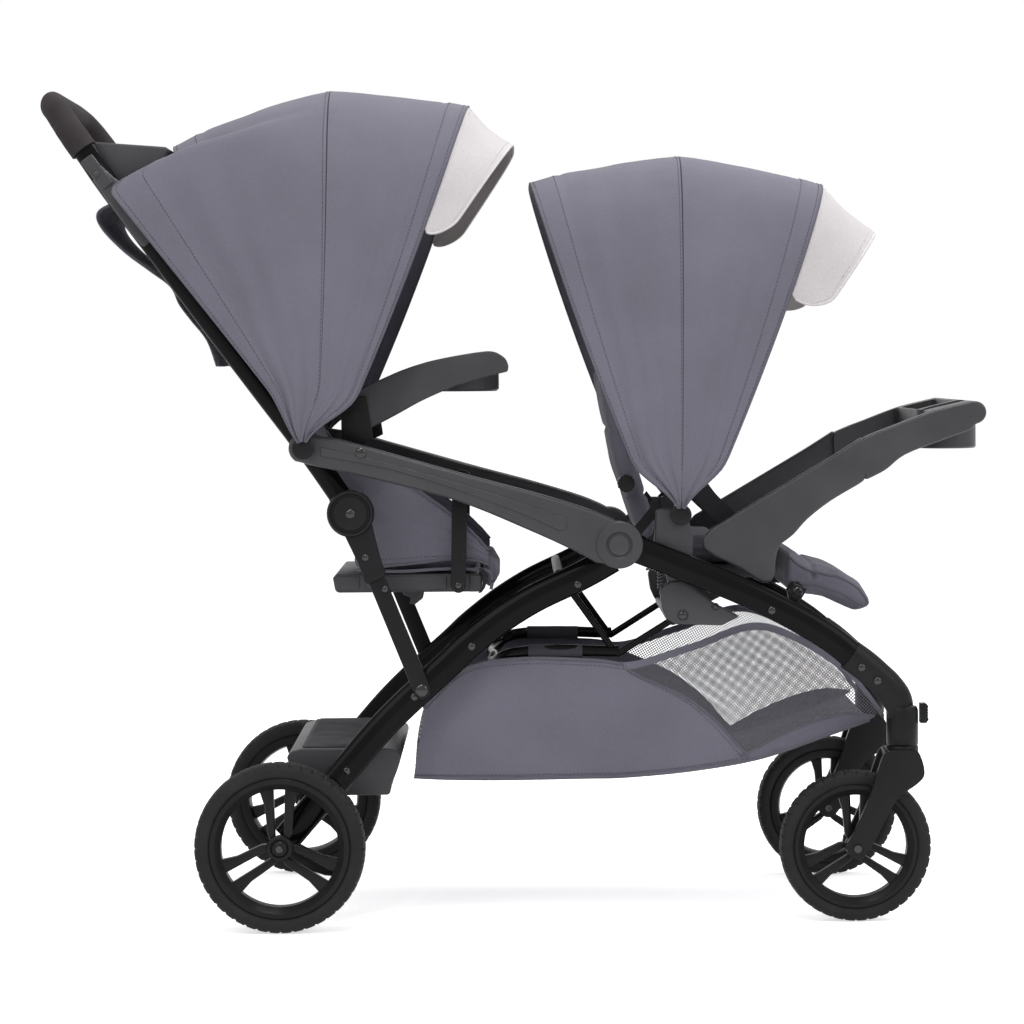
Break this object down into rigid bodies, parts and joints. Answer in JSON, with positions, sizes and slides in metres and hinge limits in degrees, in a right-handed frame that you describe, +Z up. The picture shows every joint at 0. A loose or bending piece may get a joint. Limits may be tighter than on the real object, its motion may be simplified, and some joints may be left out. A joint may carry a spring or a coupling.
{
  "type": "sit and stand stroller",
  "caption": "Tandem sit and stand stroller: front seat, rear bench seat with a standing platform, two folding canopies, basket, child and parent trays, folding frame.",
  "frame": {"origin": "on the ground below the middle of the stroller's box", "axes": "+X is the direction of travel, +Y the far side, +Z up"},
  "size_m": [1.2509, 0.552, 1.1089],
  "materials": {
    "frame_tube": "satin black powder coat",
    "black_plastic": "fine moulded grain",
    "charcoal_plastic": "satin moulded plastic",
    "tyre": "foam tyre with a fine tread",
    "grey_fabric": "woven polyester",
    "pale_fabric": "woven polyester, pale",
    "foam_grip": "closed-cell foam",
    "grey_rubber": "ribbed mat",
    "steel": "zinc-plated"
  },
  "bodies": {
    "frame": {"arm_housing_near": "black_plastic", "arm_housing_far": "black_plastic", "front_leg_near": "frame_tube", "front_leg_far": "frame_tube", "front_elbow_near": "black_plastic", "front_elbow_far": "black_plastic", "front_seat_mount_near": "black_plastic", "front_seat_mount_far": "black_plastic", "front_seat_base": "black_plastic", "front_seat_pad": "grey_fabric", "rear_seat_base": "black_plastic", "rear_seat_pad": "grey_fabric", "rear_tray_mount_near": "black_plastic", "rear_tray_mount_far": "black_plastic", "basket_hoop": "frame_tube", "basket": "grey_fabric"},
    "rear_legs": {"rear_leg_near": "frame_tube", "rear_leg_far": "frame_tube", "standing_platform": "black_plastic", "platform_mat": "grey_rubber", "rear_axle": "steel"},
    "handle": {"handle_frame": "frame_tube", "handle_grip": "foam_grip", "parent_tray": "black_plastic"},
    "uprights": {"lower_upright_near": "frame_tube", "lower_upright_far": "frame_tube"},
    "rear_canopy_middle": {"rear_canopy_middle_bow": "charcoal_plastic", "rear_canopy_rear_cover": "grey_fabric"},
    "rear_canopy_front": {"rear_canopy_front_bow": "charcoal_plastic", "rear_canopy_front_cover": "grey_fabric", "rear_canopy_visor": "pale_fabric"},
    "front_canopy_middle": {"front_canopy_middle_bow": "charcoal_plastic"},
    "front_canopy_rear": {"front_canopy_rear_bow": "charcoal_plastic", "front_canopy_rear_cover": "grey_fabric"},
    "front_canopy_front": {"front_canopy_front_bow": "charcoal_plastic", "front_canopy_front_cover": "grey_fabric", "front_canopy_visor": "pale_fabric"},
    "front_back": {"front_backrest": "grey_fabric", "front_recline_knob": "black_plastic"},
    "rear_back": {"rear_backrest": "grey_fabric", "rear_recline_knob": "black_plastic"},
    "calf_support": {"calf_rest": "grey_fabric", "calf_rest_rod": "black_plastic"},
    "front_tray": {"front_child_tray": "black_plastic"},
    "rear_tray": {"rear_child_tray": "black_plastic"},
    "brake": {"brake_pedal": "black_plastic"},
    "caster_near": {"caster_fork_near": "black_plastic", "front_axle_near": "steel"},
    "front_wheel_near": {"front_wheel_near": "charcoal_plastic", "front_tyre_near": "tyre"},
    "rear_wheel_near": {"rear_wheel_near": "charcoal_plastic", "rear_tyre_near": "tyre"},
    "swivel_lock_near": {"swivel_lock_near": "charcoal_plastic"},
    "caster_far": {"caster_fork_far": "black_plastic", "front_axle_far": "steel"},
    "front_wheel_far": {"front_wheel_far": "charcoal_plastic", "front_tyre_far": "tyre"},
    "rear_wheel_far": {"rear_wheel_far": "charcoal_plastic", "rear_tyre_far": "tyre"},
    "swivel_lock_far": {"swivel_lock_far": "charcoal_plastic"}
  },
  "joints": [
    {"name": "fold", "type": "hinge", "parent": "frame", "child": "rear_legs", "pos_m": [0.14, 0, 0.502], "axis": [0, 1, 0], "range_deg": [0, 20.85]},
    {"name": "handle_fold", "type": "hinge", "parent": "frame", "child": "handle", "pos_m": [-0.272, 0, 0.632], "axis": [0, 1, 0], "range_deg": [0, 95.2]},
    {"name": "upright_fold", "type": "hinge", "parent": "rear_legs", "child": "uprights", "pos_m": [-0.121, 0, 0.312], "axis": [0, -1, 0], "range_deg": [0, 49.5]},
    {"name": "rear_canopy_fold", "type": "hinge", "parent": "handle", "child": "rear_canopy_middle", "pos_m": [-0.272, 0, 0.632], "axis": [0, -1, 0], "range_deg": [0, 23.2], "deforming": ["rear_canopy_rear_cover"]},
    {"name": "rear_canopy_front_fold", "type": "hinge", "parent": "rear_canopy_middle", "child": "rear_canopy_front", "pos_m": [-0.272, 0, 0.632], "axis": [0, -1, 0], "range_deg": [0, 13.2], "deforming": ["rear_canopy_front_cover", "rear_canopy_visor"]},
    {"name": "front_canopy_fold", "type": "hinge", "parent": "frame", "child": "front_canopy_middle", "pos_m": [0.222, 0, 0.54], "axis": [0, 1, 0], "range_deg": [0, 43.2]},
    {"name": "front_canopy_rear_fold", "type": "hinge", "parent": "front_canopy_middle", "child": "front_canopy_rear", "pos_m": [0.222, 0, 0.54], "axis": [0, 1, 0], "range_deg": [0, 13.9], "deforming": ["front_canopy_rear_cover"]},
    {"name": "front_canopy_front_fold", "type": "hinge", "parent": "front_canopy_middle", "child": "front_canopy_front", "pos_m": [0.222, 0, 0.54], "axis": [0, -1, 0], "range_deg": [0, 13.6], "deforming": ["front_canopy_front_cover", "front_canopy_visor"]},
    {"name": "front_recline", "type": "hinge", "parent": "frame", "child": "front_back", "pos_m": [0.184, 0, 0.5], "axis": [0, -1, 0], "range_deg": [0, 20]},
    {"name": "rear_recline", "type": "hinge", "parent": "frame", "child": "rear_back", "pos_m": [-0.216, 0, 0.512], "axis": [0, -1, 0], "range_deg": [0, 20]},
    {"name": "calf_rest_tilt", "type": "hinge", "parent": "frame", "child": "calf_support", "pos_m": [0.376, 0, 0.436], "axis": [0, 1, 0], "range_deg": [0, 30]},
    {"name": "front_tray_swing", "type": "hinge", "parent": "frame", "child": "front_tray", "pos_m": [0.3, 0, 0.5], "axis": [0, 1, 0], "range_deg": [-25, 0]},
    {"name": "rear_tray_swing", "type": "hinge", "parent": "frame", "child": "rear_tray", "pos_m": [-0.204, 0, 0.672], "axis": [0, 1, 0], "range_deg": [-35, 0]},
    {"name": "brake_press", "type": "hinge", "parent": "rear_legs", "child": "brake", "pos_m": [-0.307, 0, 0.112], "axis": [0, 1, 0], "range_deg": [0, 15]},
    {"name": "caster_swivel_near", "type": "hinge", "parent": "frame", "child": "caster_near", "pos_m": [0.513, -0.197, 0.24], "axis": [0, 0, 1], "continuous": true},
    {"name": "front_wheel_spin_near", "type": "hinge", "parent": "caster_near", "child": "front_wheel_near", "pos_m": [0.45, -0.197, 0.1], "axis": [0, 1, 0], "continuous": true},
    {"name": "rear_wheel_spin_near", "type": "hinge", "parent": "rear_legs", "child": "rear_wheel_near", "pos_m": [-0.307, -0.252, 0.112], "axis": [0, 1, 0], "continuous": true},
    {"name": "swivel_lock_slide_near", "type": "slide", "parent": "frame", "child": "swivel_lock_near", "axis": [0, 0, -1], "range_m": [0, 0.006]},
    {"name": "caster_swivel_far", "type": "hinge", "parent": "frame", "child": "caster_far", "pos_m": [0.513, 0.197, 0.24], "axis": [0, 0, 1], "continuous": true},
    {"name": "front_wheel_spin_far", "type": "hinge", "parent": "caster_far", "child": "front_wheel_far", "pos_m": [0.45, 0.197, 0.1], "axis": [0, 1, 0], "continuous": true},
    {"name": "rear_wheel_spin_far", "type": "hinge", "parent": "rear_legs", "child": "rear_wheel_far", "pos_m": [-0.307, 0.252, 0.112], "axis": [0, 1, 0], "continuous": true},
    {"name": "swivel_lock_slide_far", "type": "slide", "parent": "frame", "child": "swivel_lock_far", "axis": [0, 0, -1], "range_m": [0, 0.006]}
  ],
  "couplings": [
    {"joint": "handle_fold", "follows": "fold", "ratio": 4.5564},
    {"joint": "upright_fold", "follows": "fold", "ratio": 2.3645},
    {"joint": "rear_canopy_fold", "follows": "fold", "ratio": 1.1031},
    {"joint": "rear_canopy_front_fold", "follows": "fold", "ratio": 0.6235},
    {"joint": "front_canopy_fold", "follows": "fold", "ratio": 2.0623},
    {"joint": "front_canopy_rear_fold", "follows": "fold", "ratio": 0.65707},
    {"joint": "front_canopy_front_fold", "follows": "fold", "ratio": 0.64269}
  ]
}
